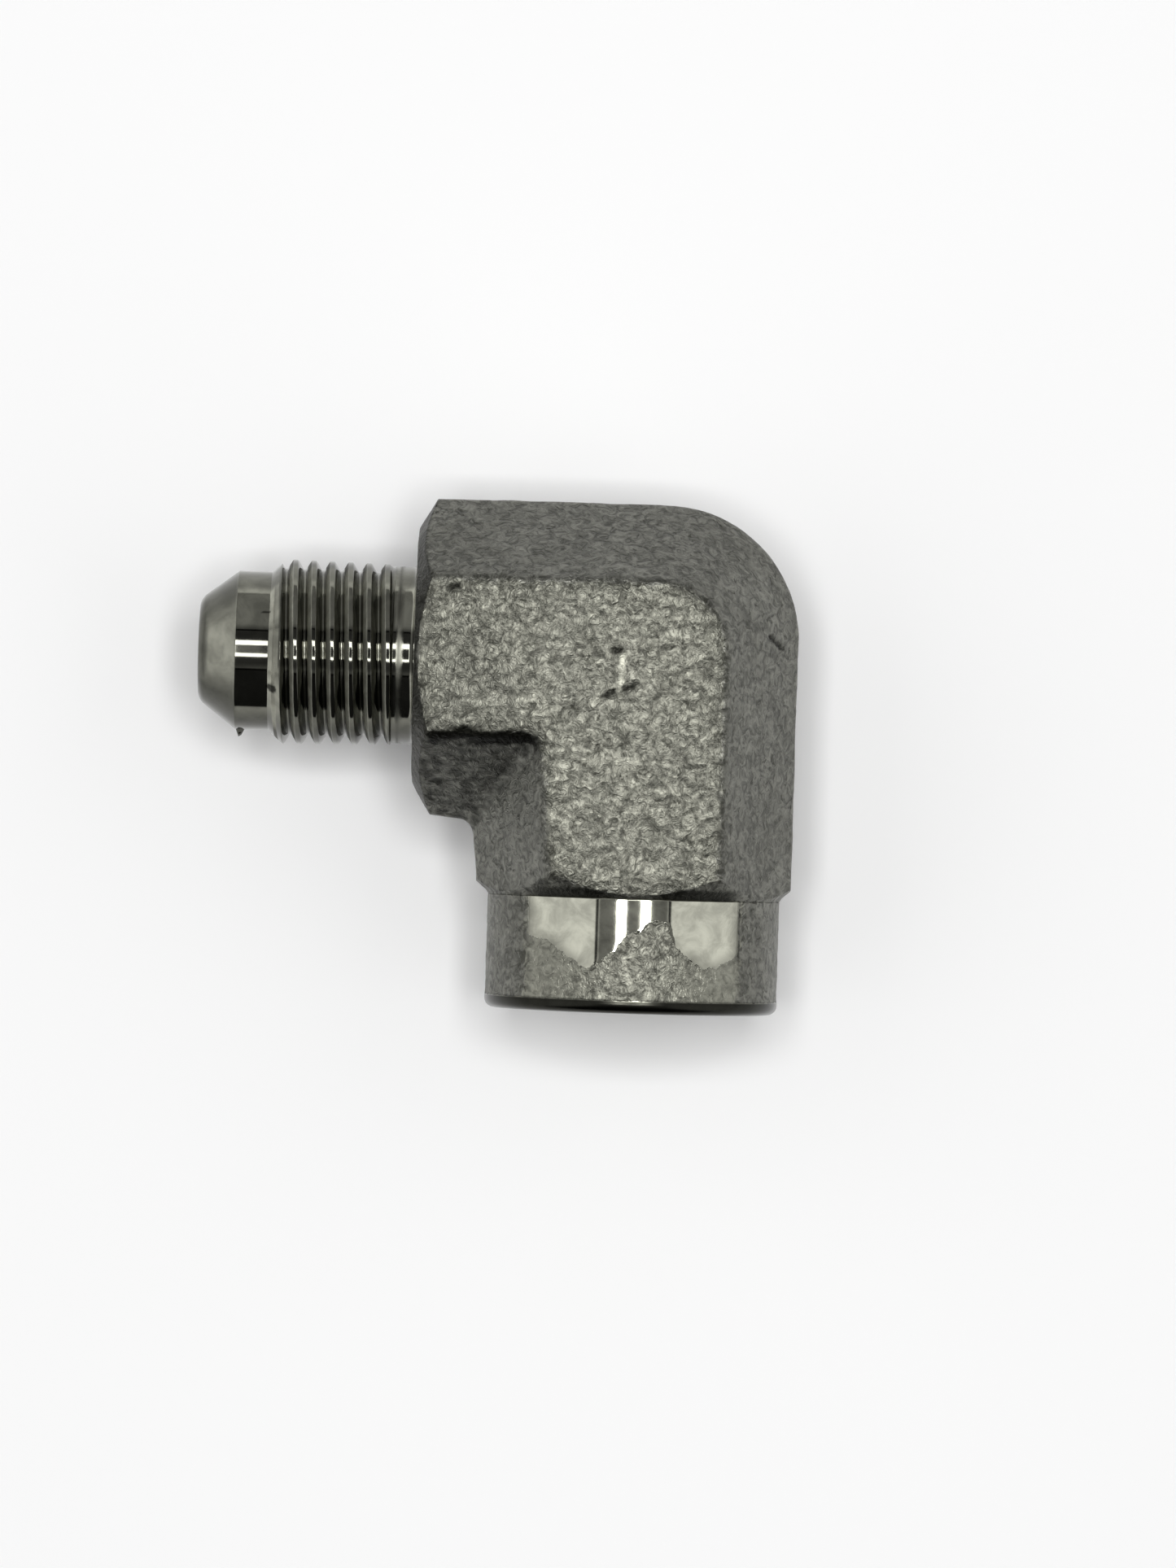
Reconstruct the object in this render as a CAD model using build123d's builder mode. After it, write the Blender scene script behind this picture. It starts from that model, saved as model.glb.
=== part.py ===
from build123d import *
import math
import os

# Hydraulic 90 degree elbow adapter: one forged and turned body, with a 37 degree flare end
# and a female pipe port. The origin lies on the back flat, under the point where the axes of
# the two bores cross. The flared end points along -X, the pipe port along -Y, and +Z comes
# out of the front flat. Lengths along the arms are measured from where the axes cross.

# Forged body in plan
male_arm_length = 17.4
female_arm_length = 18.0
body_half_width = 12.1
side_draft = 0.08
outer_corner_radius = 10.4
crook_swell = 0.5
crook_radius = 1.3

# Forged body in section: a flat front and back, slanted facets and low side walls
flat_half_thickness = 11.35
side_wall_half_height = 2.0
male_flat_half_width = 6.0
female_flat_half_width = 6.5
flat_corner_radius = 5.3
flat_crook_reach = 1.1
flat_crook_radius = 0.6
flat_edge_radius = 0.6
side_edge_radius = 0.8

# The male arm thins towards its shoulder, after a gentle bend in each flat
bend_radius = 30.0
male_arm_draft = 8.2

# Turned male end: shoulder, shank, thread, nose and flare seat
shoulder_radius = 9.75
shoulder_chamfer_angle = 30.0
shoulder_edge_radius = 0.8
male_end_length = 16.6
shank_radius = 6.8
shank_length = 1.6
shank_root_radius = 0.3
thread_radius = 7.1
thread_end_chamfer = 0.3
thread_start_chamfer = 1.1
thread_pitch = 25.4 / 18
thread_flank_angle = 30.0
thread_depth = 0.72
thread_root_width = 0.3
thread_grooves = 6
thread_runout = 0.2
nose_radius = 6.1
nose_length = 5.5
flare_angle = 37.0
flare_tip_radius = 3.85
flare_tip_rounding = 1.3
male_bore_radius = 3.6

# Turned collar of the pipe port
collar_radius = 11.25
collar_length = 8.8
collar_shoulder_angle = 40.0
collar_neck_radius = 0.4
collar_mouth_rounding = 0.6

# Pipe port: countersunk mouth, tap drill hole, drill point and flow bore
port_mouth_radius = 8.8
port_drill_radius = 7.34
port_drill_depth = 17.0
port_flow_radius = 4.8
port_flow_overrun = 2.0
drill_point_angle = 118.0

# Places along the two arms
forged_female_length = female_arm_length + collar_neck_radius
female_face = female_arm_length + collar_length
port_floor = female_face - port_drill_depth
thread_end = male_arm_length + shank_length
male_tip = male_arm_length + male_end_length
nose_end = male_tip - nose_length
flare_end = male_tip - (nose_radius - flare_tip_radius) / math.tan(math.radians(flare_angle))
groove_flank = thread_depth * math.tan(math.radians(thread_flank_angle))
groove_width = thread_root_width + 2 * groove_flank
first_groove = thread_end + thread_end_chamfer + thread_runout + groove_width / 2

# How far each flat of the male arm has come down at its shoulder
bend_start = female_flat_half_width
bend_length = bend_radius * math.sin(math.radians(male_arm_draft))
bend_drop = bend_radius * (1 - math.cos(math.radians(male_arm_draft)))
slope_length = male_arm_length - bend_start - bend_length
male_arm_drop = bend_drop + slope_length * math.tan(math.radians(male_arm_draft))

# Before it is brought down, the flat's outline narrows so that it ends up parallel
facet_run = body_half_width - male_flat_half_width
facet_rise = flat_half_thickness - male_arm_drop - side_wall_half_height
shoulder_flat_half_width = male_flat_half_width - male_arm_drop * facet_run / facet_rise

# Turning tools start outside the forging, and turned lengths reach a little way into it
outside = 2 * body_half_width
overlap = shank_length
shoulder_chamfer = (outside - shoulder_radius) * math.tan(math.radians(shoulder_chamfer_angle))
collar_shoulder = (outside - collar_radius) * math.tan(math.radians(collar_shoulder_angle))
drill_point_slope = math.tan(math.radians(drill_point_angle / 2))
drill_step = (port_drill_radius - port_flow_radius) / drill_point_slope
drill_tip = port_flow_radius / drill_point_slope

# In both section planes, X runs out along the arm and Y up from its axis
axes_plane = Plane.XY.offset(flat_half_thickness)
male_section = Plane(axes_plane.origin, x_dir=(-1, 0, 0), z_dir=(0, 1, 0))
female_section = Plane(axes_plane.origin, x_dir=(0, -1, 0), z_dir=(-1, 0, 0))
male_axis = Axis(axes_plane.origin, (-1, 0, 0))
female_axis = Axis(axes_plane.origin, (0, -1, 0))
same_place = 0.01


def forging_outline(plane, at_shoulder, male, female, corner_fillet, crook, crook_fillet):
    """Outline of the elbow in plan, from its half widths, outer corner and inner crook."""
    corner = (female, male)
    bend = (-bend_start - bend_length / 2, male)
    bend_turn = math.atan2(male - at_shoulder, male_arm_length + bend[0])
    bend_fillet = bend_length / 2 / math.tan(bend_turn / 2)
    with BuildSketch(plane) as outline:
        with BuildLine():
            Polyline(
                (-male_arm_length, at_shoulder),
                bend,
                corner,
                (female, -forged_female_length),
                (-female, -forged_female_length),
                crook,
                (-male_arm_length, -at_shoulder),
                close=True,
            )
        make_face()
        fillet(outline.vertices().sort_by_distance((*corner, 0))[0], radius=corner_fillet)
        fillet(outline.vertices().sort_by_distance((*bend, 0))[0], radius=bend_fillet)
        fillet(outline.vertices().sort_by_distance((*crook, 0))[0], radius=crook_fillet)
    return outline.sketch


def at_arm_end(shape):
    """True for a face or an edge that lies in the end plane of either arm."""
    centre = shape.center()
    from_male_end = centre.X + male_arm_length
    from_female_end = centre.Y + forged_female_length
    return min(from_male_end, from_female_end) < same_place


def is_side_wall(face):
    """True for the upright walls along the parting plane."""
    return abs(face.normal_at().Z) < same_place and not at_arm_end(face)


def is_front_flat(face):
    """True for the front flat and for its bent and sloping parts on the male arm."""
    return face.normal_at().Z > math.cos(math.radians(male_arm_draft + 1))


def front_rim(faces):
    """Edges in front of the parting plane that only one of the faces has."""
    edges = faces.edges()
    in_front = edges.filter_by(lambda edge: edge.center().Z > flat_half_thickness + same_place)
    return in_front.filter_by(lambda edge: edges.count(edge) == 1 and not at_arm_end(edge))


side_outline = forging_outline(
    axes_plane.offset(side_wall_half_height),
    at_shoulder=body_half_width,
    male=body_half_width + side_draft,
    female=body_half_width,
    corner_fillet=outer_corner_radius,
    crook=(-body_half_width - crook_swell, -body_half_width - crook_swell),
    crook_fillet=crook_radius,
)
flat_outline = forging_outline(
    axes_plane.offset(flat_half_thickness),
    at_shoulder=shoulder_flat_half_width,
    male=male_flat_half_width,
    female=female_flat_half_width,
    corner_fillet=flat_corner_radius,
    crook=(-female_flat_half_width - flat_crook_reach, -male_flat_half_width),
    crook_fillet=flat_crook_radius,
)

with BuildPart() as elbow_body:
    # Front half of the forging: facets slant in from the side walls to the flat
    loft([side_outline, flat_outline], ruled=True)

    # The male arm's flat bends and slopes down towards the shoulder
    with BuildSketch(male_section):
        with BuildLine():
            bend = JernArc(
                start=(bend_start, flat_half_thickness),
                tangent=(1, 0),
                radius=bend_radius,
                arc_size=-male_arm_draft,
            )
            Polyline(
                bend @ 1,
                (male_arm_length, flat_half_thickness - male_arm_drop),
                (male_arm_length, outside),
                (bend_start, outside),
                bend @ 0,
            )
        make_face()
    extrude(amount=outside, both=True, mode=Mode.SUBTRACT)

    # Side walls down to the parting plane, then rounded edges along walls and flat
    extrude(side_outline, amount=-side_wall_half_height)
    fillet(front_rim(elbow_body.faces().filter_by(is_side_wall)), radius=side_edge_radius)
    fillet(front_rim(elbow_body.faces().filter_by(is_front_flat)), radius=flat_edge_radius)

    # The back half mirrors the front
    mirror(about=axes_plane)

    # Chamfer turned on the male arm's shoulder
    with BuildSketch(male_section):
        with BuildLine():
            Polyline(
                (male_arm_length, shoulder_radius),
                (male_arm_length - shoulder_chamfer, outside),
                (male_arm_length + overlap, outside),
                (male_arm_length + overlap, shoulder_radius),
                close=True,
            )
        make_face()
    revolve(axis=male_axis, mode=Mode.SUBTRACT)

    # Male end, turned in one profile
    with BuildSketch(male_section) as male_end:
        with BuildLine():
            Polyline(
                (male_arm_length - overlap, 0),
                (male_arm_length - overlap, shank_radius),
                (thread_end, shank_radius),
                (thread_end + thread_end_chamfer, thread_radius),
                (nose_end - thread_start_chamfer, thread_radius),
                (nose_end, nose_radius),
                (flare_end, nose_radius),
                (male_tip, flare_tip_radius),
                (male_tip, 0),
                close=True,
            )
        make_face()
        rim = male_end.vertices().sort_by_distance((male_tip, flare_tip_radius, 0))[0]
        fillet(rim, radius=flare_tip_rounding)
    revolve(axis=male_axis)

    # Thread, as ring grooves at its pitch
    with BuildSketch(male_section):
        with GridLocations(thread_pitch, 0, thread_grooves, 1, align=(Align.MIN, Align.CENTER)):
            with Locations((first_groove, thread_radius)):
                Polygon(
                    (-groove_width / 2, 0),
                    (-thread_root_width / 2, -thread_depth),
                    (thread_root_width / 2, -thread_depth),
                    (groove_width / 2, 0),
                    (groove_width / 2, thread_depth),
                    (-groove_width / 2, thread_depth),
                    align=None,
                )
    revolve(axis=male_axis, mode=Mode.SUBTRACT)

    # Root radius at the shank, and the softened edge of the shoulder's face
    shoulder_rings = elbow_body.edges().filter_by(GeomType.CIRCLE).filter_by_position(
        Axis.X, -male_arm_length - same_place, -male_arm_length + same_place
    )
    fillet(shoulder_rings.sort_by(SortBy.RADIUS)[0], radius=shank_root_radius)
    fillet(shoulder_rings.sort_by(SortBy.RADIUS)[-1], radius=shoulder_edge_radius)

    # Chamfer turned on the female arm's shoulder, with a neck radius against the collar
    with BuildSketch(female_section) as shoulder_tool:
        with BuildLine():
            Polyline(
                (female_arm_length, collar_radius),
                (female_arm_length - collar_shoulder, outside),
                (female_arm_length + overlap, outside),
                (female_arm_length + overlap, collar_radius),
                close=True,
            )
        make_face()
        neck = shoulder_tool.vertices().sort_by_distance((female_arm_length, collar_radius, 0))[0]
        fillet(neck, radius=collar_neck_radius)
    revolve(axis=female_axis, mode=Mode.SUBTRACT)

    # Collar, with its mouth edge rounded
    with BuildSketch(female_section) as collar:
        with BuildLine():
            Polyline(
                (female_arm_length - overlap, 0),
                (female_arm_length - overlap, collar_radius),
                (female_face, collar_radius),
                (female_face, 0),
                close=True,
            )
        make_face()
        mouth_edge = collar.vertices().sort_by_distance((female_face, collar_radius, 0))[0]
        fillet(mouth_edge, radius=collar_mouth_rounding)
    revolve(axis=female_axis)

    # Bore of the flared end, drilled in to where the axes cross
    with BuildSketch(male_section):
        with Locations((male_tip / 2, male_bore_radius / 2)):
            Rectangle(male_tip, male_bore_radius)
    revolve(axis=male_axis, mode=Mode.SUBTRACT)

    # Pipe port: countersunk mouth, tap drill hole and its drill point, then the flow bore
    with BuildSketch(female_section):
        with BuildLine():
            Polyline(
                (-port_flow_overrun - drill_tip, 0),
                (-port_flow_overrun, port_flow_radius),
                (port_floor - drill_step, port_flow_radius),
                (port_floor, port_drill_radius),
                (female_face - port_mouth_radius + port_drill_radius, port_drill_radius),
                (female_face, port_mouth_radius),
                (female_face, 0),
                close=True,
            )
        make_face()
    revolve(axis=female_axis, mode=Mode.SUBTRACT)

elbow_body.part.label = "elbow_body"

os.makedirs("parts", exist_ok=True)
export_step(elbow_body.part, "parts/elbow_body.step")
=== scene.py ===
import math

import bmesh
import bpy
import numpy as np
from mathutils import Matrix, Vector, noise
from mathutils.bvhtree import BVHTree
from mathutils.kdtree import KDTree


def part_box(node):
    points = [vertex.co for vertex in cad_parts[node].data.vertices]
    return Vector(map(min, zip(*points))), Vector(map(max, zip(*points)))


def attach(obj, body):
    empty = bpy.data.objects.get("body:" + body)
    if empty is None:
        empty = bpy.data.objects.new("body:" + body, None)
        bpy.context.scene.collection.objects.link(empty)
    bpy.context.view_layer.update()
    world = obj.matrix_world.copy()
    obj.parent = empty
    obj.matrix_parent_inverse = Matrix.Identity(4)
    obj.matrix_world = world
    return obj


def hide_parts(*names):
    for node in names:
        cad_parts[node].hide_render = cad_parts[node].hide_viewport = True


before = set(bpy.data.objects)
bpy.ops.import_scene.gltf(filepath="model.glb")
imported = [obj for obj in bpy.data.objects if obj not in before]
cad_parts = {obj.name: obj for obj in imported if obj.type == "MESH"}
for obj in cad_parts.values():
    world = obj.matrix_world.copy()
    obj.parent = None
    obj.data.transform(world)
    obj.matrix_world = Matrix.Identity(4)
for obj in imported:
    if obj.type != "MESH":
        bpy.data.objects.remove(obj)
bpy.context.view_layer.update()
scene = bpy.context.scene

# Lengths below are in millimetres unless they say otherwise, and lengths along the arms are
# measured from where the axes of the two bores cross
MM = 0.001
BODY = "root"
NODE = "elbow_body"
FORGED_SLOT = "forged_steel"
TURNED_SLOT = "turned_steel"

# The axes lie midway between the front flat and the back flat
low, high = (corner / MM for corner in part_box(NODE))
axis_height = (low.z + high.z) / 2
half_thickness = (high.z - low.z) / 2

# Turned male end
shoulder_at = 17.4
shoulder_radius = 9.75
shoulder_chamfer_angle = math.radians(30)
shank_root_radius = 0.3
shank_radius = 6.8
nose_at = 28.5
nose_radius = 6.1
flare_at = 31.02
male_tip = 34.0
flare_tip_radius = 3.85
flare_tip_rounding = 1.3
male_bore_radius = 3.6
male_overlap = 0.4
male_overlap_gap = 0.2

# Both threads have 18 turns to the inch, and flanks that are rounded by that share
thread_pitch = 25.4 / 18
rounding_share = 0.25

# Outside thread, which fades in round its start
thread_start_at = 19.0
thread_end_chamfer = 0.3
thread_chamfer_at = 27.4
thread_depth = 0.72
crest_radius = 7.1
crest_taper = 0.018
crest_flat = 0.32
root_flat = 0.14
crest_at = 23.94
fade_before = 0.3
fade_after = 0.8

# Small burr on the nose, on the side of the port
burr_at = 30.7
burr_angle = math.pi
burr_width = 0.3
burr_height = 0.8
burr_margin = 0.1

# Turned collar, whose start has a small rounded edge
collar_at = 18.0
collar_radius = 11.25
collar_face = -low.y
collar_shoulder_angle = math.radians(40)
collar_overlap = 0.6
collar_edge_half = 0.05
collar_edge_length = 0.15
collar_edge_foot = 0.5
collar_edge_top = 0.08
collar_mouth_rounding = 0.7
mouth_band = 1.0

# Pipe port, in a sleeve that reaches into the forging, whose hole is widened for it
port_mouth_radius = 8.8
port_drill_radius = 7.34
port_drill_depth = 17.0
port_flow_radius = 4.8
port_flow_end = 4.0
port_flow_wall = 0.5
port_clearance = 0.6
sleeve_overlap = 0.3
drill_point_slope = math.tan(math.radians(118 / 2))
port_thread_root = 8.53
port_thread_depth = 1.13
port_thread_taper = 1 / 32
port_thread_length = 14.0
port_thread_flat = 0.1

# Grid sizes of the meshes
skin_grid = 0.24
male_grid = 0.25
collar_grid = 0.22
hidden_grid = 0.6
male_segments = 256
port_segments = 300
male_rings_per_pitch = 28
port_rings_per_pitch = 16
fillet_steps = 6
flare_tip_steps = 12

# Runs of a profile over this length get a pair of points a corner gap apart at each end
corner_gap = 0.03
paired_run = 10 * corner_gap


def smooth(edge0, edge1, value):
    """0 before edge0, 1 past edge1, and an even ramp between them."""
    t = np.clip((np.asarray(value, float) - edge0) / (edge1 - edge0), 0, 1)
    return t * t * (3 - 2 * t)


def within(zone, value):
    """1 inside a zone, which is given as the ramp at its start and the ramp at its end."""
    start, end = zone
    return smooth(*start, value) * smooth(*end, value)


def grain(points, size, octaves, seed):
    """Fractal noise, about -1 to 1, whose largest lumps have that size."""
    offset = Vector((seed, -seed, seed / 2))
    fineness = 0.9
    octave_step = 2.1
    spots = (Vector(point) / size + offset for point in points)
    return np.array([noise.fractal(spot, fineness, octave_step, octaves) for spot in spots])


def mesh_object(name, vertices, faces):
    """A smooth mesh object whose vertices are given in millimetres."""
    mesh = bpy.data.meshes.new(name)
    mesh.from_pydata((np.asarray(vertices) * MM).tolist(), [], faces)
    mesh.shade_smooth()
    piece = bpy.data.objects.new(name, mesh)
    scene.collection.objects.link(piece)
    return piece


def store(piece, name, values):
    """Keeps one number per vertex, for the material to read."""
    kept = piece.data.attributes.new(name, "FLOAT", "POINT")
    kept.data.foreach_set("value", np.asarray(values, np.float32))


# Camera: straight above, a little to the left of the crossing and below it, turned slightly
camera_height = 700.0
camera_spot = (-3.78, -9.47)
camera_turn = math.radians(1.8)
frame_height = 120.66

camera_data = bpy.data.cameras.new("camera")
camera_data.sensor_width = 36.0
camera_data.lens = camera_data.sensor_width * camera_height / frame_height
camera_data.clip_start = 10 * MM
camera_data.clip_end = 10000 * MM
camera = bpy.data.objects.new("camera", camera_data)
camera.location = Vector((*camera_spot, axis_height + camera_height)) * MM
camera.rotation_euler = (0, 0, camera_turn)
scene.collection.objects.link(camera)
scene.camera = camera


# Node helpers
def new_material(name):
    """A material with no nodes yet."""
    material = bpy.data.materials.new(name)
    material.use_nodes = True
    material.node_tree.nodes.clear()
    return material


def add(tree, kind, inputs=None, **settings):
    """A node whose inputs are linked from sockets or set to values."""
    made = tree.nodes.new(kind)
    for key, value in settings.items():
        setattr(made, key, value)
    for key, value in (inputs or {}).items():
        if isinstance(value, bpy.types.NodeSocket):
            tree.links.new(value, made.inputs[key])
        else:
            made.inputs[key].default_value = value
    return made


def maths(tree, operation, *values):
    """The result of that operation on sockets or numbers."""
    return add(tree, "ShaderNodeMath", dict(enumerate(values)), operation=operation).outputs[0]


def ramp(tree, value, low_in, high_in, low_out=0.0, high_out=1.0):
    """Even ramp from low_out to high_out as the value goes from low_in to high_in."""
    inputs = {
        "Value": value,
        "From Min": low_in,
        "From Max": high_in,
        "To Min": low_out,
        "To Max": high_out,
    }
    made = add(tree, "ShaderNodeMapRange", inputs, interpolation_type="SMOOTHSTEP")
    return made.outputs["Result"]


def mix(tree, factor, a, b):
    """Colour a where the factor is 0, colour b where it is 1."""
    inputs = {0: factor, 6: a, 7: b}
    return add(tree, "ShaderNodeMix", inputs, data_type="RGBA").outputs[2]


def millimetres(tree):
    """Object coordinates in millimetres."""
    place = add(tree, "ShaderNodeTexCoord").outputs["Object"]
    scaled = add(tree, "ShaderNodeVectorMath", {0: place, "Scale": 1 / MM}, operation="SCALE")
    return scaled.outputs[0]


def noise_value(tree, place, lump, detail, roughness, distortion=0.0):
    """Noise whose lumps are about that many millimetres across."""
    inputs = {
        "Vector": place,
        "Scale": 1 / lump,
        "Detail": detail,
        "Roughness": roughness,
        "Distortion": distortion,
    }
    return add(tree, "ShaderNodeTexNoise", inputs).outputs["Fac"]


def attribute(tree, name):
    """The number that store() keeps per vertex under that name."""
    return add(tree, "ShaderNodeAttribute", attribute_name=name).outputs["Fac"]


def emitter(name, strength):
    """A material that gives white light."""
    material = new_material(name)
    tree = material.node_tree
    surface = add(tree, "ShaderNodeEmission", {"Color": (1, 1, 1, 1), "Strength": strength})
    add(tree, "ShaderNodeOutputMaterial", {"Surface": surface.outputs[0]})
    return material


def matt_paint(name, tone):
    """A paint of that grey, with no gloss."""
    material = new_material(name)
    tree = material.node_tree
    inputs = {"Base Color": (tone, tone, tone, 1), "Roughness": 0.9, "Specular IOR Level": 0.0}
    surface = add(tree, "ShaderNodeBsdfPrincipled", inputs)
    add(tree, "ShaderNodeOutputMaterial", {"Surface": surface.outputs[0]})
    return material


def grey(value, blue_share=0.84):
    """A metal colour of that brightness, a little short of blue."""
    return (value, value, value * blue_share, 1.0)


# Brightness of the forged skin: coarse on the flats, finer on the sides, with scale and dirt
flat_dark = 0.09
flat_light = 0.275
side_dark = grey(0.085, 0.88)
side_light = grey(0.245, 0.88)
cloud_colour = grey(0.12, 0.86)
pit_colour = grey(0.04, 0.8)
dirt_colour = grey(0.05, 0.8)
# Rubbed bruises, and painted light, go towards this colour
rubbed_and_light_colour = grey(0.42)
# Dark marks, and painted shade, go towards this colour
marks_and_shade_colour = grey(0.01, 0.8)
pit_amount = 0.7
cloud_amount = 0.25
dirt_amount = 0.6

# The border of the flats wanders, and dirt gathers near a line just outside it
border_wander = 1.2
border_softness = 0.3
dirt_line = 0.3
dirt_near = 0.2
dirt_far = 0.7

# The stretch of each noise over which it turns from one colour to the next
flat_stretch = (0.37, 0.64)
side_stretch = (0.3, 0.7)
cloud_stretch = (0.35, 0.7)
pit_stretch = (0.4, 0.3)
dirt_stretch = (0.5, 0.38)
haze_stretch = (0.3, 0.7)

# Turned metal, where the colours are shares of the brightness that a piece asks for
haze_dark = 0.68
haze_light = 1.1
# Turned metal goes towards this colour where it is painted darker as shade, and where it is dull
dull_and_shade_colour = grey(0.03, 0.86)

# Relief of the skin, with the turning lines as a share of it, and roughness
skin_height = 0.2
line_height = 0.0008
cut_softness = 0.04
skin_roughness = 0.46
haze_roughness = 0.03
matte_roughness = 0.5


def forged_look(tree, place, gain):
    """Colour and height of the blasted skin: coarse curls on the flats, finer mottling elsewhere."""
    wander = noise_value(tree, place, lump=0.9, detail=3, roughness=0.6)
    curl = noise_value(tree, place, lump=1.0, detail=2, roughness=0.55, distortion=1.8)
    relief = noise_value(tree, place, lump=0.8, detail=3, roughness=0.68, distortion=1.2)
    pitting = noise_value(tree, place, lump=0.7, detail=2, roughness=0.6, distortion=1.0)
    cloud = noise_value(tree, place, lump=3.5, detail=2, roughness=0.5)

    edge = attribute(tree, "edge")
    shift = maths(tree, "MULTIPLY_ADD", wander, 2 * border_wander, -border_wander)
    flat = ramp(tree, maths(tree, "ADD", edge, shift), -border_softness, border_softness)
    light = maths(tree, "MULTIPLY", maths(tree, "ADD", curl, relief), 0.5)
    flat_share = ramp(tree, light, *flat_stretch)
    coarse = mix(tree, flat_share, grey(flat_dark * gain), grey(flat_light * gain))
    fine = mix(tree, ramp(tree, relief, *side_stretch), side_dark, side_light)
    colour = mix(tree, flat, fine, coarse)

    pits = maths(tree, "MULTIPLY", ramp(tree, pitting, *pit_stretch), pit_amount)
    colour = mix(tree, pits, colour, pit_colour)
    clouds = ramp(tree, cloud, *cloud_stretch, 0.0, cloud_amount)
    colour = mix(tree, clouds, colour, cloud_colour)

    off_line = maths(tree, "ABSOLUTE", maths(tree, "ADD", edge, dirt_line))
    near_line = ramp(tree, off_line, dirt_far, dirt_near)
    caught = maths(tree, "MULTIPLY", near_line, ramp(tree, curl, *dirt_stretch))
    colour = mix(tree, maths(tree, "MULTIPLY", caught, dirt_amount), colour, dirt_colour)
    return colour, relief


def turned_look(tree, place, axis, bright):
    """Colour, height and haze of turned metal, whose fine lines run round that axis."""
    parts = add(tree, "ShaderNodeSeparateXYZ", {0: place})
    along = add(tree, "ShaderNodeCombineXYZ", {0: parts.outputs[axis]}).outputs[0]
    lines = noise_value(tree, along, lump=0.09, detail=2, roughness=0.7)
    haze = noise_value(tree, place, lump=1.8, detail=5, roughness=0.62, distortion=0.5)
    haze_share = ramp(tree, haze, *haze_stretch)
    colour = mix(tree, haze_share, grey(bright * haze_dark), grey(bright * haze_light))
    # Darkened as painted shade on the male end and in the port's thread, and dull at the collar's
    # rim
    return mix(tree, attribute(tree, "dull_and_painted_shade"), colour, dull_and_shade_colour), lines, haze


def steel(name, axis, bright, roughness, ragged=0.0, skin_gain=1.0):
    """Forged skin where the piece's cut attribute is below 0, and turned metal above it."""
    material = new_material(name)
    tree = material.node_tree
    place = millimetres(tree)
    marks_and_painted_shade = attribute(tree, "marks_and_painted_shade")
    border = noise_value(tree, place, lump=0.7, detail=4, roughness=0.65)
    wander = maths(tree, "ADD", border, -0.5)
    cut = maths(tree, "MULTIPLY_ADD", wander, ragged, attribute(tree, "cut"))
    cut = ramp(tree, cut, -cut_softness, cut_softness)

    skin_colour, relief = forged_look(tree, place, skin_gain)
    # Lightened at rubbed bruises, and as painted light on the dent's bar and the collar's sides
    skin_colour = mix(tree, attribute(tree, "rubbed_and_painted_light"), skin_colour, rubbed_and_light_colour)
    # Darkened as painted shade, and at a few real dark nicks and marks
    skin_colour = mix(tree, marks_and_painted_shade, skin_colour, marks_and_shade_colour)
    turned_colour, lines, haze = turned_look(tree, place, axis, bright)
    turned_colour = mix(tree, marks_and_painted_shade, turned_colour, marks_and_shade_colour)
    colour = mix(tree, cut, skin_colour, turned_colour)

    skin_part = maths(tree, "MULTIPLY", relief, maths(tree, "SUBTRACT", 1.0, cut))
    turned_part = maths(tree, "MULTIPLY", maths(tree, "MULTIPLY", lines, cut), line_height)
    height = maths(tree, "ADD", skin_part, turned_part)
    bump_inputs = {"Strength": 1.0, "Distance": skin_height * MM, "Height": height}
    bump = add(tree, "ShaderNodeBump", bump_inputs)

    turned_rough = maths(tree, "MULTIPLY_ADD", haze, haze_roughness, roughness)
    matte = attribute(tree, "matte")
    turned_rough = maths(tree, "MULTIPLY_ADD", matte, matte_roughness, turned_rough)
    extra = maths(tree, "SUBTRACT", turned_rough, skin_roughness)
    rough = maths(tree, "MULTIPLY_ADD", cut, extra, skin_roughness)
    inputs = {"Base Color": colour, "Metallic": 1.0, "Roughness": rough, "Normal": bump.outputs[0]}
    surface = add(tree, "ShaderNodeBsdfPrincipled", inputs)
    add(tree, "ShaderNodeOutputMaterial", {"Surface": surface.outputs[0]})
    return material


# Forging: a copy of the CAD shape without its turned ends, on an even grid, with a rough skin
end_margin = 0.02
collar_cut_at = collar_at + 0.2
widened_radius = port_thread_root + port_clearance
merge_distance = 1e-4
port_start_margin = 0.2
port_wall_tolerance = 0.05


def forging_blank():
    """The CAD shape up to its turned ends, with the port widened to take the threaded sleeve."""
    shape = bmesh.new()
    shape.from_mesh(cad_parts[NODE].data)
    bmesh.ops.scale(shape, vec=(1 / MM,) * 3, verts=shape.verts)
    bmesh.ops.remove_doubles(shape, verts=shape.verts, dist=merge_distance)
    for vertex in shape.verts:
        across = Vector((vertex.co.x, vertex.co.z - axis_height))
        in_port = vertex.co.y < -(collar_face - port_drill_depth) + port_start_margin
        if in_port and abs(across.length - port_drill_radius) < port_wall_tolerance:
            across *= widened_radius / across.length
            vertex.co.x = across.x
            vertex.co.z = axis_height + across.y
    ends = (
        (Vector((end_margin - shoulder_at, 0, 0)), Vector((-1, 0, 0))),
        (Vector((0, -collar_cut_at, 0)), Vector((0, -1, 0))),
    )
    for place, outward in ends:
        everything = shape.verts[:] + shape.edges[:] + shape.faces[:]
        cut = bmesh.ops.bisect_plane(
            shape, geom=everything, plane_co=place, plane_no=outward, clear_outer=True
        )
        rim = [part for part in cut["geom_cut"] if isinstance(part, bmesh.types.BMEdge)]
        bmesh.ops.triangle_fill(shape, edges=rim, use_beauty=True, normal=outward)
    bmesh.ops.triangulate(shape, faces=shape.faces[:])
    bmesh.ops.recalc_face_normals(shape, faces=shape.faces[:])
    return shape


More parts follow.
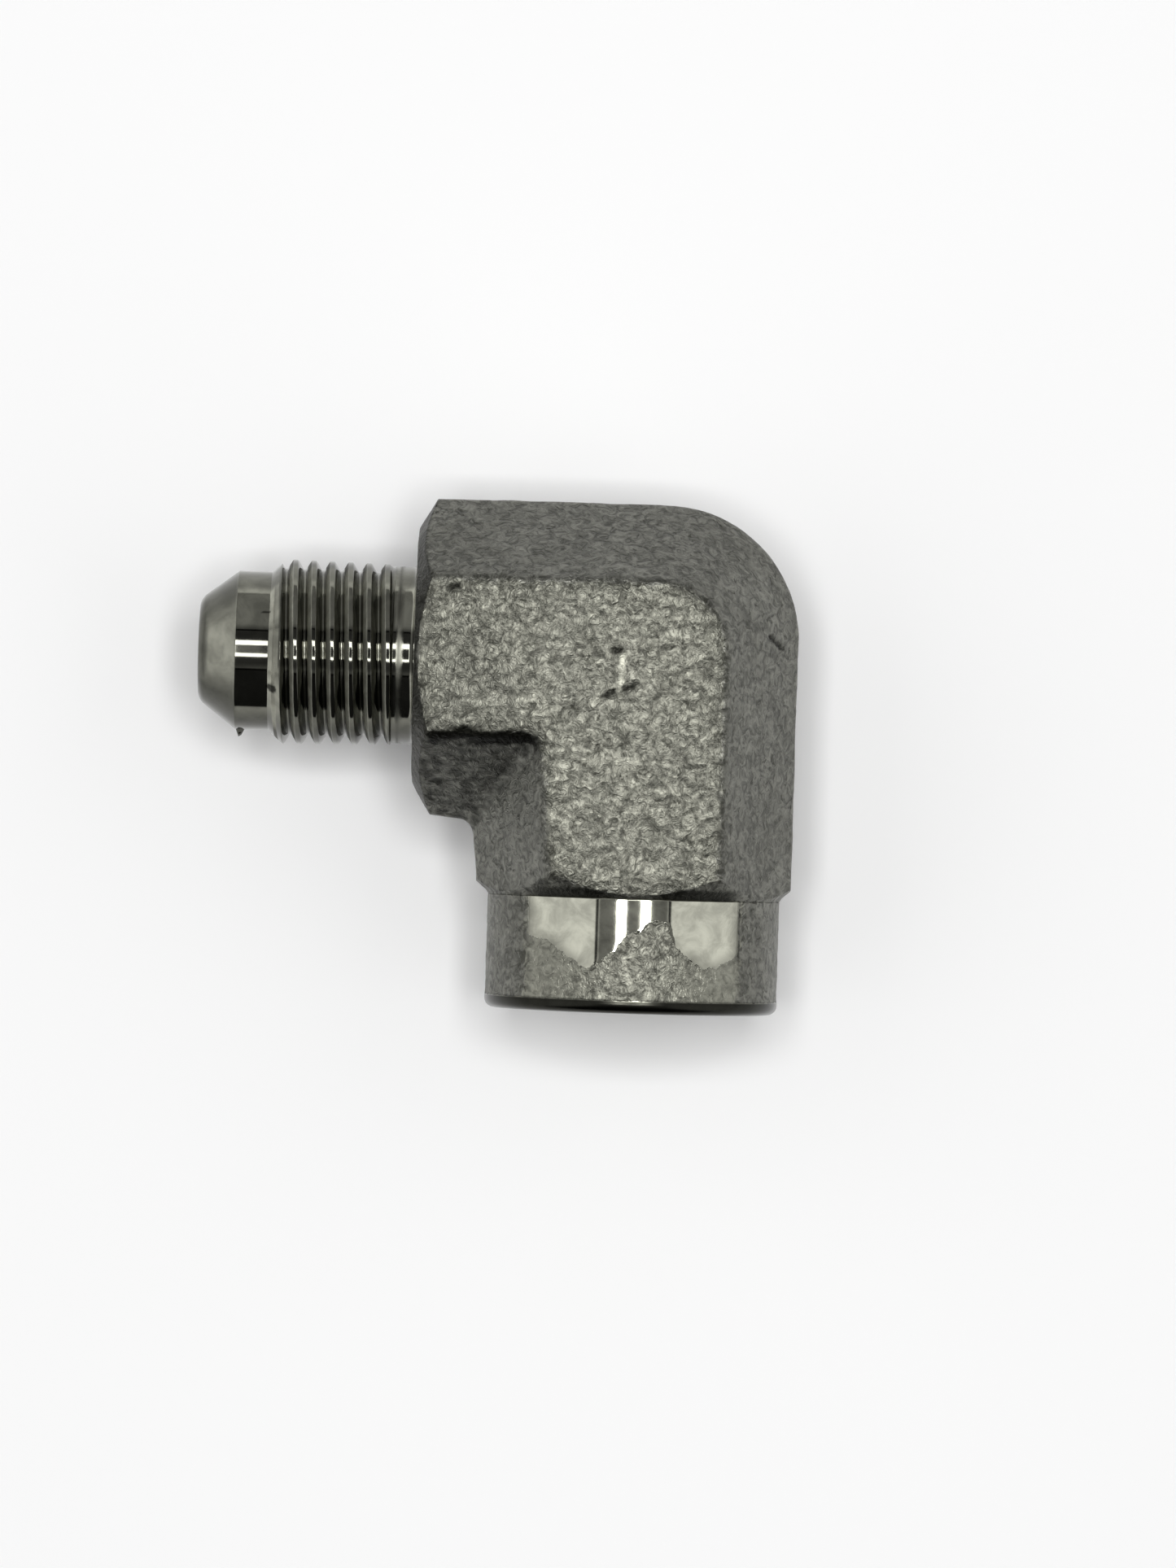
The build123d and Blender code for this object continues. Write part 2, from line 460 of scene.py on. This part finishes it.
def even_grid(shape, grid):
    """Vertices and faces of the closed shape, remade on an even grid."""
    mesh = bpy.data.meshes.new("blank")
    shape.to_mesh(mesh)
    blank = bpy.data.objects.new("blank", mesh)
    scene.collection.objects.link(blank)
    remesh = blank.modifiers.new("even_grid", "REMESH")
    remesh.mode = "VOXEL"
    remesh.voxel_size = grid
    evaluated = blank.evaluated_get(bpy.context.evaluated_depsgraph_get())
    remade = bpy.data.meshes.new_from_object(evaluated)
    points = np.zeros(len(remade.vertices) * 3)
    remade.vertices.foreach_get("co", points)
    faces = [tuple(polygon.vertices) for polygon in remade.polygons]
    bpy.data.objects.remove(blank)
    return points.reshape(-1, 3), faces


shape = forging_blank()
points, faces = even_grid(shape, skin_grid)
surface_tree = BVHTree.FromBMesh(shape)
nearest = [surface_tree.find_nearest(Vector(point)) for point in points]
points = np.array([hit[0] for hit in nearest])
normals = np.array([hit[1] for hit in nearest])
shape.free()

# How far each point is from the axes of the two arms, and whether it lies on the chamfer of a
# shoulder or inside a bore
cone_softness = 0.12
bore_margin = 0.2
bore_half_height = 9.2
port_bore_end = 4.7
male_bore_end = 1.0

up = points[:, 2] - axis_height
male_reach = np.hypot(points[:, 1], up)
female_reach = np.hypot(points[:, 0], up)
male_cone = -shoulder_at + (male_reach - shoulder_radius) * math.tan(shoulder_chamfer_angle)
female_cone = -collar_at + (female_reach - collar_radius) * math.tan(collar_shoulder_angle)
on_male_cone = smooth(-cone_softness, 0.0, male_cone - points[:, 0])
on_female_cone = smooth(-cone_softness, 0.0, female_cone - points[:, 1])
in_port = (female_reach < widened_radius + bore_margin) & (points[:, 1] < port_bore_end)
in_bore = (male_reach < male_bore_radius + bore_margin) & (points[:, 0] < male_bore_end)
hidden = (np.abs(up) < bore_half_height) & (in_port | in_bore)

# The flats face nearly straight forward or back
flat_facing = 0.94
flat_depth = 2.0
edge_limit = 4.0


def inside_flats(points, on_flat):
    """Distance to the border of the flats: above 0 on them, below 0 off them."""
    trees = {}
    for side in (True, False):
        members = np.flatnonzero(on_flat == side)
        trees[side] = KDTree(len(members))
        for member in members:
            trees[side].insert(points[member], member)
        trees[side].balance()
    gap = np.array([trees[not side].find(point)[2] for point, side in zip(points, on_flat)])
    return np.clip(np.where(on_flat, gap, -gap), -edge_limit, edge_limit)


on_flat = (np.abs(normals[:, 2]) > flat_facing) & (np.abs(up) > half_thickness - flat_depth)
on_flat &= (on_male_cone < 0.5) & (on_female_cone < 0.5)
edge = inside_flats(points, on_flat)

# Marks on the front, each with its two ends and its width: a struck dent, whose bright bar is a
# painted highlight among three nicks painted dark as its shadow, long light bruises, a pit and a
# scratch
bar_mark = ((-1.45, 0.35), (-1.4, -1.7), 0.3)
dark_mark_lines = (
    ((-2.15, 0.72), (-1.55, 0.74), 0.26),
    ((-1.3, -2.2), (-0.5, -1.9), 0.28),
    ((-2.6, -2.75), (-2.05, -2.4), 0.3),
    ((-14.6, 5.15), (-14.1, 5.3), 0.35),
    ((9.9, 2.2), (10.75, 1.35), 0.22),
)
bruise_width = 0.36
bruise_lines = (
    ((-3.0, -7.8), (0.9, -7.7), bruise_width),
    ((-12.9, -3.6), (-10.2, -3.3), bruise_width),
    ((-10.2, -3.3), (-6.9, -2.95), bruise_width),
    ((-7.4, -3.8), (-7.0, -5.3), bruise_width),
)

# A mark is full over the core of its width, and a bruise comes and goes with the grain
mark_core = 0.4
bruise_stretch = (-0.35, 0.25)


def streak(start, end, width):
    """1 along a straight mark on the front, fading out within that width of it."""
    start, end = np.array(start), np.array(end)
    run = end - start
    share = np.clip((points[:, :2] - start) @ run / (run @ run), 0, 1)
    off = np.linalg.norm(points[:, :2] - start - share[:, None] * run, axis=1)
    return (1 - smooth(mark_core * width, width, off)) * (up > 0)


bar = streak(*bar_mark)
dark_marks = np.max([streak(*line) for line in dark_mark_lines], axis=0)
bruise = np.max([streak(*line) for line in bruise_lines], axis=0)
bruise = bruise * smooth(*bruise_stretch, grain(points, size=0.9, octaves=2, seed=27.0))

# The facets under the male arm, inside the crook, are rougher, and painted darker as shade
crook_facing = (0.2, 0.42)
crook_below = (-5.0, -6.0)
crook_end = -6.5
crook_side = smooth(*crook_facing, -normals[:, 1]) * smooth(*crook_below, points[:, 1])
crook_side = crook_side * (points[:, 0] < crook_end)

# The skin lies a little under the CAD surface, so that its lumps stay inside
skin_sink = 0.07
deepest_sink = 0.3
lump_height = 0.045
edge_lump_height = 0.05
edge_lump_reach = 1.0
pebble_height = 0.014
flat_pebble_height = 0.02
flat_pebble_border = (-0.2, 0.2)
crook_pebble_height = 0.025
wear_depth = 0.2
wear_reach = 1.1
wear_reach_change = 0.6
dark_mark_depth = 0.16
bar_rise = 0.05
bruise_rise = 0.03

lumps = grain(points, size=2.6, octaves=2, seed=5.0) * lump_height
edge_lumps = grain(points, size=1.1, octaves=2, seed=21.0) * edge_lump_height
lumps += edge_lumps * (np.abs(edge) < edge_lump_reach)
pebble_heights = pebble_height + flat_pebble_height * smooth(*flat_pebble_border, edge)
pebble_heights = pebble_heights + crook_pebble_height * crook_side
pebbles = grain(points, size=0.75, octaves=3, seed=11.0) * pebble_heights
edge_reach = wear_reach + wear_reach_change * grain(points, size=1.5, octaves=2, seed=33.0)
edge_wear = wear_depth * np.clip(1 - np.abs(edge) / edge_reach, 0, 1) ** 2
mark_depth = dark_mark_depth * dark_marks - bar_rise * bar - bruise_rise * bruise
sink = np.clip(skin_sink - lumps - pebbles + edge_wear + mark_depth, 0.0, deepest_sink)
points = points - normals * (sink * ~hidden)[:, None]

# A painted shadow lies in the crook, blackest just under the flat of the male arm: its zone across
# the border of the flat, then across and along the arm
crook_shadow_wander = 0.6
crook_shadow_border_zone = ((-1.6, -1.1), (0.4, 0.1))
crook_shadow_across_zone = ((-7.6, -6.8), (-4.0, -4.6))
crook_shadow_along_zone = ((-16.6, -15.8), (-7.2, -8.0))
crook_shadow_edge = edge + crook_shadow_wander * grain(points, size=1.2, octaves=3, seed=7.0)
crook_shadow = within(crook_shadow_border_zone, crook_shadow_edge) * within(crook_shadow_across_zone, points[:, 1])
crook_shadow = crook_shadow * within(crook_shadow_along_zone, points[:, 0])

# A painted dark reflection, as a crescent where the collar's shoulder cuts the flats
crescent_half_width = (8.3, 7.0)
crescent_height = (5.0, 7.0)
crescent_end = (0.9, 0.5)
crescent = on_female_cone * smooth(*crescent_half_width, np.abs(points[:, 0]))
crescent = crescent * smooth(*crescent_height, np.abs(up))
crescent = crescent * smooth(*crescent_end, points[:, 1] + collar_at)

# A soft crease along the bend between the flats and the facets of the crook, painted darker as shade
crease_facing_zone = ((0.72, 0.78), (0.97, 0.9))
crease_right = -6.0
crease_top = -5.5
crease_off_flat = -0.4
crease = within(crease_facing_zone, np.abs(normals[:, 2])) * (points[:, 0] < crease_right)
crease = crease * (points[:, 1] < crease_top) * (edge < crease_off_flat)

# How dark each of these is, from 0 to 1, all painted shade but the real pit and scratch among the
# dark marks, and how bright the bar's painted highlight and the rubbed bruises are
mottle_shade = 0.36
crook_shade_change = 0.75
deepest_crook_shade = 0.8
crease_shade = 0.5
crescent_shade = 0.85
shoulder_shade = 0.75
dark_mark_shade = 0.9
bar_highlight = 0.8
bruise_rub = 0.4
mottled_crook_shade = mottle_shade + crook_shade_change * grain(points, size=0.7, octaves=3, seed=17.0)
forging_shades = (
    np.clip(mottled_crook_shade, 0, deepest_crook_shade) * crook_side,
    crease_shade * crease,
    crook_shadow,
    crescent_shade * crescent,
    shoulder_shade * on_male_cone,
    dark_mark_shade * dark_marks,
)

forging = mesh_object("forged_body", points, faces)
store(forging, "edge", edge)
store(forging, "cut", np.where(hidden, 1.0, -1.0))
store(forging, "dull_and_painted_shade", np.zeros(len(points)))
store(forging, "matte", np.zeros(len(points)))
# The dent's bar is a painted highlight; the bruises are rubbed
store(forging, "rubbed_and_painted_light", np.maximum(bar_highlight * bar, bruise_rub * bruise))
store(forging, "marks_and_painted_shade", np.max(forging_shades, axis=0))
forging.data.materials.append(steel("forged_steel_skin", axis="X", bright=0.42, roughness=0.25))


# Turned ends: a closed profile swept round its axis, with its threads cut in
def arc(centre, radius, start, end, steps):
    """Points of an arc in the section plane, with its angles in degrees."""
    angles = np.radians(np.linspace(start, end, steps))
    return [(centre[0] + radius * math.cos(a), centre[1] + radius * math.sin(a)) for a in angles]


def finer(profile, step_at):
    """The closed profile with points added: none further apart than step_at says, and a close
    pair at each corner, so that its edge stays crisp under smooth shading."""
    result = []
    for here, after in zip(profile, profile[1:] + profile[:1]):
        here, after = np.array(here), np.array(after)
        length = np.linalg.norm(after - here)
        steps = max(1, math.ceil(length / step_at((here + after) / 2)))
        shares = [step / steps for step in range(steps)]
        if length > paired_run:
            shares = [0.0, corner_gap / length, *shares[1:], 1 - corner_gap / length]
        result += [tuple(here + (after - here) * share) for share in shares]
    return np.array(result)


def groove(phase, root, crest, depth):
    """How deep a 60 degree thread is at a phase counted in turns, 0 in the middle of a crest."""
    from_crest = np.abs((phase + 0.5) % 1 - 0.5) * thread_pitch
    flank = thread_pitch / 2 - root / 2 - crest / 2
    share = np.clip((from_crest - crest / 2) / flank, 0, 1)
    return depth * ((1 - rounding_share) * share + rounding_share * smooth(0, 1, share))


def turn(profile, segments, radius_at):
    """Grid of (along, angle, radius) and the faces of a closed profile turned round its axis."""
    rings = len(profile)
    angles = np.arange(segments) * 2 * math.pi / segments
    along, angle = np.meshgrid(profile[:, 0], angles, indexing="ij")
    radius = radius_at(along, angle, np.repeat(profile[:, 1:], segments, axis=1))
    faces = []
    for ring in range(rings):
        here = ring * segments
        after = (ring + 1) % rings * segments
        for step in range(segments):
            beside = (step + 1) % segments
            faces.append((here + step, here + beside, after + beside, after + step))
    return along.ravel(), angle.ravel(), radius.ravel(), faces


# Male end, along -X: its angle runs from +Y towards +Z
flare_angle = math.atan((nose_radius - flare_tip_radius) / (male_tip - flare_at))
tip_turn = math.pi / 2 - flare_angle
tip_setback = flare_tip_rounding * math.tan(tip_turn / 2)
tip_centre = (male_tip - flare_tip_rounding, flare_tip_radius - tip_setback)
tip_start = 90 - math.degrees(flare_angle)
tip_end = math.degrees(math.asin((male_bore_radius - tip_centre[1]) / flare_tip_rounding))
fillet_radius = shank_radius + shank_root_radius
fillet_centre = (shoulder_at + shank_root_radius, fillet_radius)
male_profile = [
    (shoulder_at - male_overlap, fillet_radius),
    (shoulder_at - end_margin, fillet_radius),
    *arc(fillet_centre, shank_root_radius, 180, 270, fillet_steps),
    (thread_start_at, shank_radius),
    (thread_start_at + thread_end_chamfer, crest_radius),
    (thread_chamfer_at, crest_radius),
    (nose_at, nose_radius),
    (flare_at, nose_radius),
    *arc(tip_centre, flare_tip_rounding, tip_start, tip_end, flare_tip_steps),
    (shoulder_at, male_bore_radius),
    (shoulder_at - male_overlap, male_bore_radius + male_overlap_gap),
]

# Past this radius a point is on the outside of the male end
outer_from = male_bore_radius + 1.0


def male_step(place):
    """Longest step of the male profile at that place: fine along the thread."""
    on_thread = thread_start_at < place[0] < nose_at and place[1] > nose_radius
    return thread_pitch / male_rings_per_pitch if on_thread else male_grid


def male_phase(along, angle):
    """Phase of the right-hand thread, -0.5 to 0.5, with 0 in the middle of a crest."""
    phase = (crest_at - along) / thread_pitch - angle / (2 * math.pi)
    return (phase + 0.5) % 1 - 0.5


def male_thread(along, angle, radius):
    """Cuts the right-hand thread, which fades out before the shank."""
    fade = smooth(thread_start_at - fade_before, thread_start_at + fade_after, along)
    crest = crest_radius + crest_taper * (along - thread_chamfer_at)
    cut = crest - groove(male_phase(along, angle), root_flat, crest_flat, thread_depth) * fade
    on_thread = (along > thread_start_at - fade_before) & (along < nose_at)
    return np.where(on_thread & (radius > outer_from), np.minimum(radius, cut), radius)


along, angle, radius, faces = turn(finer(male_profile, male_step), male_segments, male_thread)
off_burr = np.hypot((along - burr_at) / burr_width, (angle - burr_angle) * nose_radius / burr_width)
radius += burr_height * np.clip(1 - off_burr, 0, 1) * (radius > nose_radius - burr_margin)
points = np.stack([-along, radius * np.cos(angle), axis_height + radius * np.sin(angle)], axis=1)
male_end = mesh_object("flared_end", points, faces)

# Zones of the male end: the two flanks of the thread, by their phase, its roots and ends, the
# ring on the shank, the chamfer, the flare and its tip
lit_flank_phase = -0.24
lit_flank_ramp = (0.14, 0.07)
far_flank_phase = 0.23
far_flank_ramp = (0.16, 0.1)
root_depth_ramp = (0.45, 0.65)
thread_foot = 6.2
thread_lead = 0.1
thread_tail = 0.3
end_on_ramp = (0.82, 0.95)
shank_ring_at = 18.55
shank_ring_ramp = (0.24, 0.16)
chamfer_start = 0.3
chamfer_end = 0.02
flare_softness = 0.05
tip_band_ramp = (0.8, 0.65)

# The side, by its cosine: 1 at the top as the camera sees it, -1 below, 0 at the front or back
side = np.cos(angle)
lamp_side = 0.03
lamp_ramp = (0.3, 0.2)
below_ramp = (0.45, 0.9)
below_shift_on_flare = 0.25
flare_top_ramp = (0.2, 0.7)
top_ramp = (0.7, 0.8)

phase = male_phase(along, angle)
on_thread = (along > thread_start_at - thread_lead) & (along < nose_at - thread_tail)
on_thread &= radius > thread_foot
on_chamfer = (along > thread_chamfer_at + chamfer_start) & (along < nose_at - chamfer_end)
on_flare = smooth(flare_at - flare_softness, flare_at + flare_softness, along)
lit_flank = on_thread * smooth(*lit_flank_ramp, np.abs(phase - lit_flank_phase))
far_flank = on_thread * smooth(*far_flank_ramp, np.abs(phase - far_flank_phase))
in_root = on_thread * smooth(*root_depth_ramp, crest_radius - radius)
end_on = on_thread * smooth(*end_on_ramp, np.abs(side))
shank_ring = smooth(*shank_ring_ramp, np.abs(along - shank_ring_at)) * (radius > outer_from)
tip_band = smooth(*tip_band_ramp, male_tip - along)
below_start, below_full = (limit - below_shift_on_flare * on_flare for limit in below_ramp)
below = smooth(below_start, below_full, -side)
flare_top = smooth(*flare_top_ramp, side) * on_flare
top = smooth(*top_ramp, side)
towards_lamp = smooth(*lamp_ramp, np.abs(side - lamp_side)) * (1 - on_flare) * (1 - on_chamfer)

# How dark each zone is painted as shade, from 0 to 1, how much the lit flank is lifted as a painted
# highlight, and how matte
thread_shade = 0.3
root_shade = 0.45
end_on_shade = 0.8
far_flank_shade = 0.75
lamp_side_shade = 0.8
below_shade = 0.85
flare_top_shade = 0.75
top_shade = 0.62
tip_band_shade = 0.75
lit_flank_highlight = 0.75
shank_ring_shade = 0.72
shank_ring_matte = 0.7
flare_matte = 0.25
male_shades = (
    thread_shade * on_thread,
    root_shade * in_root,
    end_on_shade * end_on,
    far_flank_shade * far_flank,
    lamp_side_shade * towards_lamp,
    below_shade * below,
    flare_top_shade * flare_top,
    top_shade * top,
    tip_band_shade * tip_band,
)
male_mattes = (lit_flank, shank_ring_matte * shank_ring, flare_matte * on_flare)
dull_and_painted_shade = np.max(male_shades, axis=0) * (1 - lit_flank_highlight * lit_flank * (1 - end_on))
dull_and_painted_shade = np.maximum(dull_and_painted_shade, shank_ring_shade * shank_ring)

# Two dark nicks on the nose: how far along, angle in degrees, half length and half width
nose_nicks = ((28.76, 62, 0.42, 0.14), (28.17, 117, 0.45, 0.38))
nose_nick_shade = 0.9
nose_nick_ramp = (0.7, 1.0)


def nick(nick_along, nick_angle, length, width):
    """1 at a short dark mark on the turned end, running along it."""
    off_round = (angle - math.radians(nick_angle)) * nose_radius
    off = np.hypot((along - nick_along) / length, off_round / width)
    return 1 - smooth(*nose_nick_ramp, off)


nicks = np.max([nick(*nose_nick) for nose_nick in nose_nicks], axis=0)
store(male_end, "edge", np.full(len(points), -1.0))
store(male_end, "cut", np.ones(len(points)))
store(male_end, "dull_and_painted_shade", dull_and_painted_shade)
store(male_end, "matte", np.max(male_mattes, axis=0))
store(male_end, "marks_and_painted_shade", nose_nick_shade * nicks)
# The male end's turned steel is set darker than the collar's: painted shade for its darker
# reflections
male_end.data.materials.append(steel("turned_male_end", axis="X", bright=0.38, roughness=0.05))

# Port collar, along -Y: its angle runs from +X towards +Z
port_floor = collar_face - port_drill_depth
port_flow_start = port_floor - (port_drill_radius - port_flow_radius) / drill_point_slope
sleeve_radius = widened_radius + sleeve_overlap
mouth_centre = (collar_face - collar_mouth_rounding, collar_radius - collar_mouth_rounding)
port_profile = [
    (collar_at - collar_overlap, collar_radius - collar_overlap),
    (collar_at - collar_edge_half, collar_radius - collar_edge_foot),
    (collar_at + collar_edge_half, collar_radius - collar_edge_top),
    (collar_at + collar_edge_length, collar_radius),
    *arc(mouth_centre, collar_mouth_rounding, 90, 0, fillet_steps),
    (collar_face, port_mouth_radius),
    (collar_face - port_mouth_radius + port_drill_radius, port_drill_radius),
    (port_floor, port_drill_radius),
    (port_flow_start, port_flow_radius),
    (port_flow_end, port_flow_radius),
    (port_flow_end, port_flow_radius + port_flow_wall),
    (port_floor, sleeve_radius),
    (collar_at - collar_overlap, sleeve_radius),
]

# Margins by which a point may be off the bore, the mouth or the outside and still count as on it
bore_band = 0.1
bore_tolerance = 0.01
mouth_gap = 0.05
outside_band = 0.02
outside_margin = 0.05
outside_lead = 0.3


def port_step(place):
    """Longest step of the collar's profile at that place: fine along the thread and outside."""
    in_thread = collar_face - port_thread_length < place[0] < collar_face - mouth_gap
    on_bore = port_drill_radius - bore_band < place[1] < port_mouth_radius
    if in_thread and on_bore:
        return thread_pitch / port_rings_per_pitch
    return collar_grid if place[1] > collar_radius - outside_band else hidden_grid


def port_thread(along, angle, radius):
    """Cuts the tapered thread of the port, which runs out before the bottom of the drilled hole."""
    depth = collar_face - along
    phase = along / thread_pitch + angle / (2 * math.pi)
    root = port_thread_root - port_thread_taper * depth
    fade = smooth(port_thread_length, port_thread_length - 2 * thread_pitch, depth)
    cut_depth = groove(phase, port_thread_flat, port_thread_flat, port_thread_depth)
    cut = root - (port_thread_depth - cut_depth) - (1 - fade) * port_thread_depth
    on_bore = (radius > port_drill_radius - bore_tolerance) & (depth < port_thread_length)
    on_bore &= radius < port_mouth_radius + bore_tolerance
    return np.where(on_bore, np.maximum(radius, cut), radius)


# Angle in degrees from the front, towards +X, and how far along the collar the tool has cleaned up
skin_border = (
    (-46, 3.2), (-36, 3.4), (-30, 4.1), (-18, 5.5), (-14, 5.1), (-7, 4.0), (-2, 2.8), (3, 2.5),
    (6, 1.8), (12.5, 1.7), (16, 3.5), (21, 4.4), (28, 5.2), (34, 5.2), (42, 4.5), (46, 4.0),
)

# The cleaned patches end at a side, in degrees from the front, and one degree round the collar
# is that long. The mouth, with a crisper border, and the inside are turned all round
patch_side = 45.5
millimetres_a_degree = 0.19
mouth_crispness = 3
inner_cut = 2.0


def skin_line(angle):
    """Where along the collar the turned zone ends, for an angle round its axis."""
    from_front = np.degrees(np.arcsin(np.clip(np.cos(angle), -1, 1)))
    return collar_at + np.interp(from_front, *zip(*skin_border))


def port_points(along, angle, radius):
    """Places of points that are given round the axis of the port."""
    return np.stack([radius * np.cos(angle), -along, axis_height + radius * np.sin(angle)], axis=1)


along, angle, radius, faces = turn(finer(port_profile, port_step), port_segments, port_thread)
outside = radius > collar_radius - collar_mouth_rounding - outside_margin
outside &= along > collar_at - outside_lead
side = np.degrees(np.arcsin(np.clip(np.abs(np.cos(angle)), 0, 1)))
cleaned = np.minimum(skin_line(angle) - along, (patch_side - side) * millimetres_a_degree)
at_mouth = along - (collar_face - mouth_band)
cleaned = np.where(outside, np.maximum(cleaned, mouth_crispness * at_mouth), inner_cut)

# Relief of the skin that the tool left
collar_sink = 0.05
deepest_collar_sink = 0.12
collar_lump_height = 0.02
collar_pebble_height = 0.03
rough_ramp = (-0.5, -0.1)
grain_points = port_points(along, angle, radius) * outside[:, None]
lumps = grain(grain_points, size=2.2, octaves=2, seed=3.0) * collar_lump_height
pebbles = grain(grain_points, size=0.7, octaves=3, seed=9.0) * collar_pebble_height
sink = np.clip(collar_sink - pebbles - lumps, 0, deepest_collar_sink)
radius = radius - sink * (1 - smooth(*rough_ramp, cleaned)) * outside
points = port_points(along, angle, radius)
collar = mesh_object("port_collar", points, [tuple(reversed(face)) for face in faces])

# Zones of the collar: its thread, painted darker as shade, a dark line painted as shade at the right
# side of the cleaned patches, their worn rim, the mouth, painted dark as a reflection, and the skin
# that faces straight forward, painted darker as shade
port_thread_shade = 0.6
seam_shade = 0.7
seam_side = 45.7
seam_width = 0.6
seam_border = -0.3
rim_dull = 0.42
rim_ramp = (1.1, 0.0)
rim_side_ramp = (16, 24)
mouth_shade = 0.97
mouth_matte = 0.35
mouth_ramp = (-0.14, 0.0)
facing_shade = 0.12
facing_side_ramp = (14, 6)
facing_ramp = (0.0, -0.2)
side_light_share = 0.3
side_light_change = 0.25
side_light_zone = ((12, 25), (46, 43))
coarse_side = 47

in_thread = ~outside & (radius > port_drill_radius - bore_band)
in_thread &= radius < port_mouth_radius - mouth_gap
seam = np.exp(-(((side - seam_side) / seam_width) ** 2)) * (np.cos(angle) > 0)
seam = seam * (cleaned > seam_border) * outside
worn_rim = smooth(*rim_ramp, cleaned) * smooth(*rim_side_ramp, side) * outside
mouth = smooth(*mouth_ramp, at_mouth) * outside
facing = smooth(*facing_side_ramp, side) * smooth(*facing_ramp, cleaned)
grain_points = points * outside[:, None]
# The sides of the rough skin are painted lighter, patchy with the grain
patchy_side_light = side_light_share + side_light_change * grain(grain_points, size=0.6, octaves=2, seed=41.0)
collar_shades = (seam_shade * seam, mouth_shade * mouth, facing_shade * facing)
store(collar, "edge", np.where(outside, (coarse_side - side) * millimetres_a_degree, -1.0))
store(collar, "cut", cleaned)
store(collar, "dull_and_painted_shade", np.where(in_thread, port_thread_shade, rim_dull * worn_rim))
store(collar, "matte", mouth_matte * mouth)
store(collar, "rubbed_and_painted_light", np.clip(patchy_side_light, 0, 1) * within(side_light_zone, side))
store(collar, "marks_and_painted_shade", np.max(collar_shades, axis=0))
collar_steel = steel(
    "turned_collar", axis="Y", bright=0.7, roughness=0.05, ragged=1.1, skin_gain=1.25
)
collar.data.materials.append(collar_steel)

for piece, slot_name in ((forging, FORGED_SLOT), (male_end, TURNED_SLOT), (collar, TURNED_SLOT)):
    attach(piece, BODY)
    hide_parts(NODE)


# Floor
floor_half = 2000.0
floor_tone = 0.98
corners = ((-1, -1), (1, -1), (1, 1), (-1, 1))
floor_corners = [(x * floor_half, y * floor_half, 0) for x, y in corners]
floor = mesh_object("floor", floor_corners, [(0, 1, 2, 3)])
floor.data.materials.append(matt_paint("floor_white", floor_tone))

# Frame lamp round the camera: a flat rectangle of light with a hole that is wider at the front
lamp_height = 700.0
lamp_strength = 16.0
hole_left, hole_right = -68.0, 72.0
hole_front, hole_back = -50.0, 84.0
hole_bay_left, hole_bay_right, hole_bay_front = -35.0, 40.0, -80.0
rim_left, rim_right = -155.0, 158.0
rim_front, rim_back = -118.0, 164.0
hole = (
    (hole_left, hole_front),
    (hole_bay_left, hole_bay_front),
    (hole_bay_right, hole_bay_front),
    (hole_right, hole_front),
    (hole_right, hole_back),
    (hole_left, hole_back),
)
rim = (
    (rim_left, rim_front),
    (hole_bay_left, rim_front),
    (hole_bay_right, rim_front),
    (rim_right, rim_front),
    (rim_right, rim_back),
    (rim_left, rim_back),
)
count = len(hole)
lamp_corners = [(x, y, lamp_height) for x, y in hole + rim]
sides = [(here, (here + 1) % count) for here in range(count)]
lamp_faces = [(here, after, count + after, count + here) for here, after in sides]
lamp = mesh_object("frame_lamp", lamp_corners, lamp_faces)
lamp.data.materials.append(emitter("frame_lamp_light", lamp_strength))

# Soft box round the set: bright side walls, a grey back wall, an open dark front and a dim top,
# with a dark seam just outside the border of the top
side_wall = 0.75
back_wall = 0.28
open_front = 0.02
box_top = 0.15
top_slope = math.tan(math.radians(27))
side_softness = 0.1
back_softness = 0.03
top_softness = 0.02
seam_offset = 0.03
seam_half_width = 0.03

world = bpy.data.worlds.new("soft_box")
world.use_nodes = True
scene.world = world
tree = world.node_tree
tree.nodes.clear()
direction = add(tree, "ShaderNodeTexCoord").outputs["Generated"]
parts = add(tree, "ShaderNodeSeparateXYZ", {0: direction})
sideways = maths(tree, "ABSOLUTE", parts.outputs["X"])
lengthways = maths(tree, "ABSOLUTE", parts.outputs["Y"])
lean = maths(tree, "MAXIMUM", sideways, lengthways)
leaning_side = maths(tree, "SUBTRACT", sideways, lengthways)
top_edge = maths(tree, "MULTIPLY", parts.outputs["Z"], top_slope)
top_edge = maths(tree, "SUBTRACT", top_edge, lean)
on_side = ramp(tree, leaning_side, -side_softness, side_softness)
on_back = ramp(tree, parts.outputs["Y"], -back_softness, back_softness)
on_top = ramp(tree, top_edge, -top_softness, top_softness)
off_seam = maths(tree, "ABSOLUTE", maths(tree, "ADD", top_edge, seam_offset))
on_seam = ramp(tree, off_seam, seam_half_width, seam_half_width / 2)
end_wall = maths(tree, "MULTIPLY_ADD", on_back, back_wall - open_front, open_front)
side_extra = maths(tree, "SUBTRACT", side_wall, end_wall)
wall = maths(tree, "MULTIPLY_ADD", on_side, side_extra, end_wall)
top_extra = maths(tree, "SUBTRACT", box_top, wall)
tone = maths(tree, "MULTIPLY_ADD", on_top, top_extra, wall)
tone = maths(tree, "MULTIPLY", tone, maths(tree, "SUBTRACT", 1.0, on_seam))
background = add(tree, "ShaderNodeBackground", {"Color": (1, 1, 1, 1), "Strength": tone})
add(tree, "ShaderNodeOutputWorld", {"Surface": background.outputs[0]})

scene.view_settings.view_transform = "Standard"
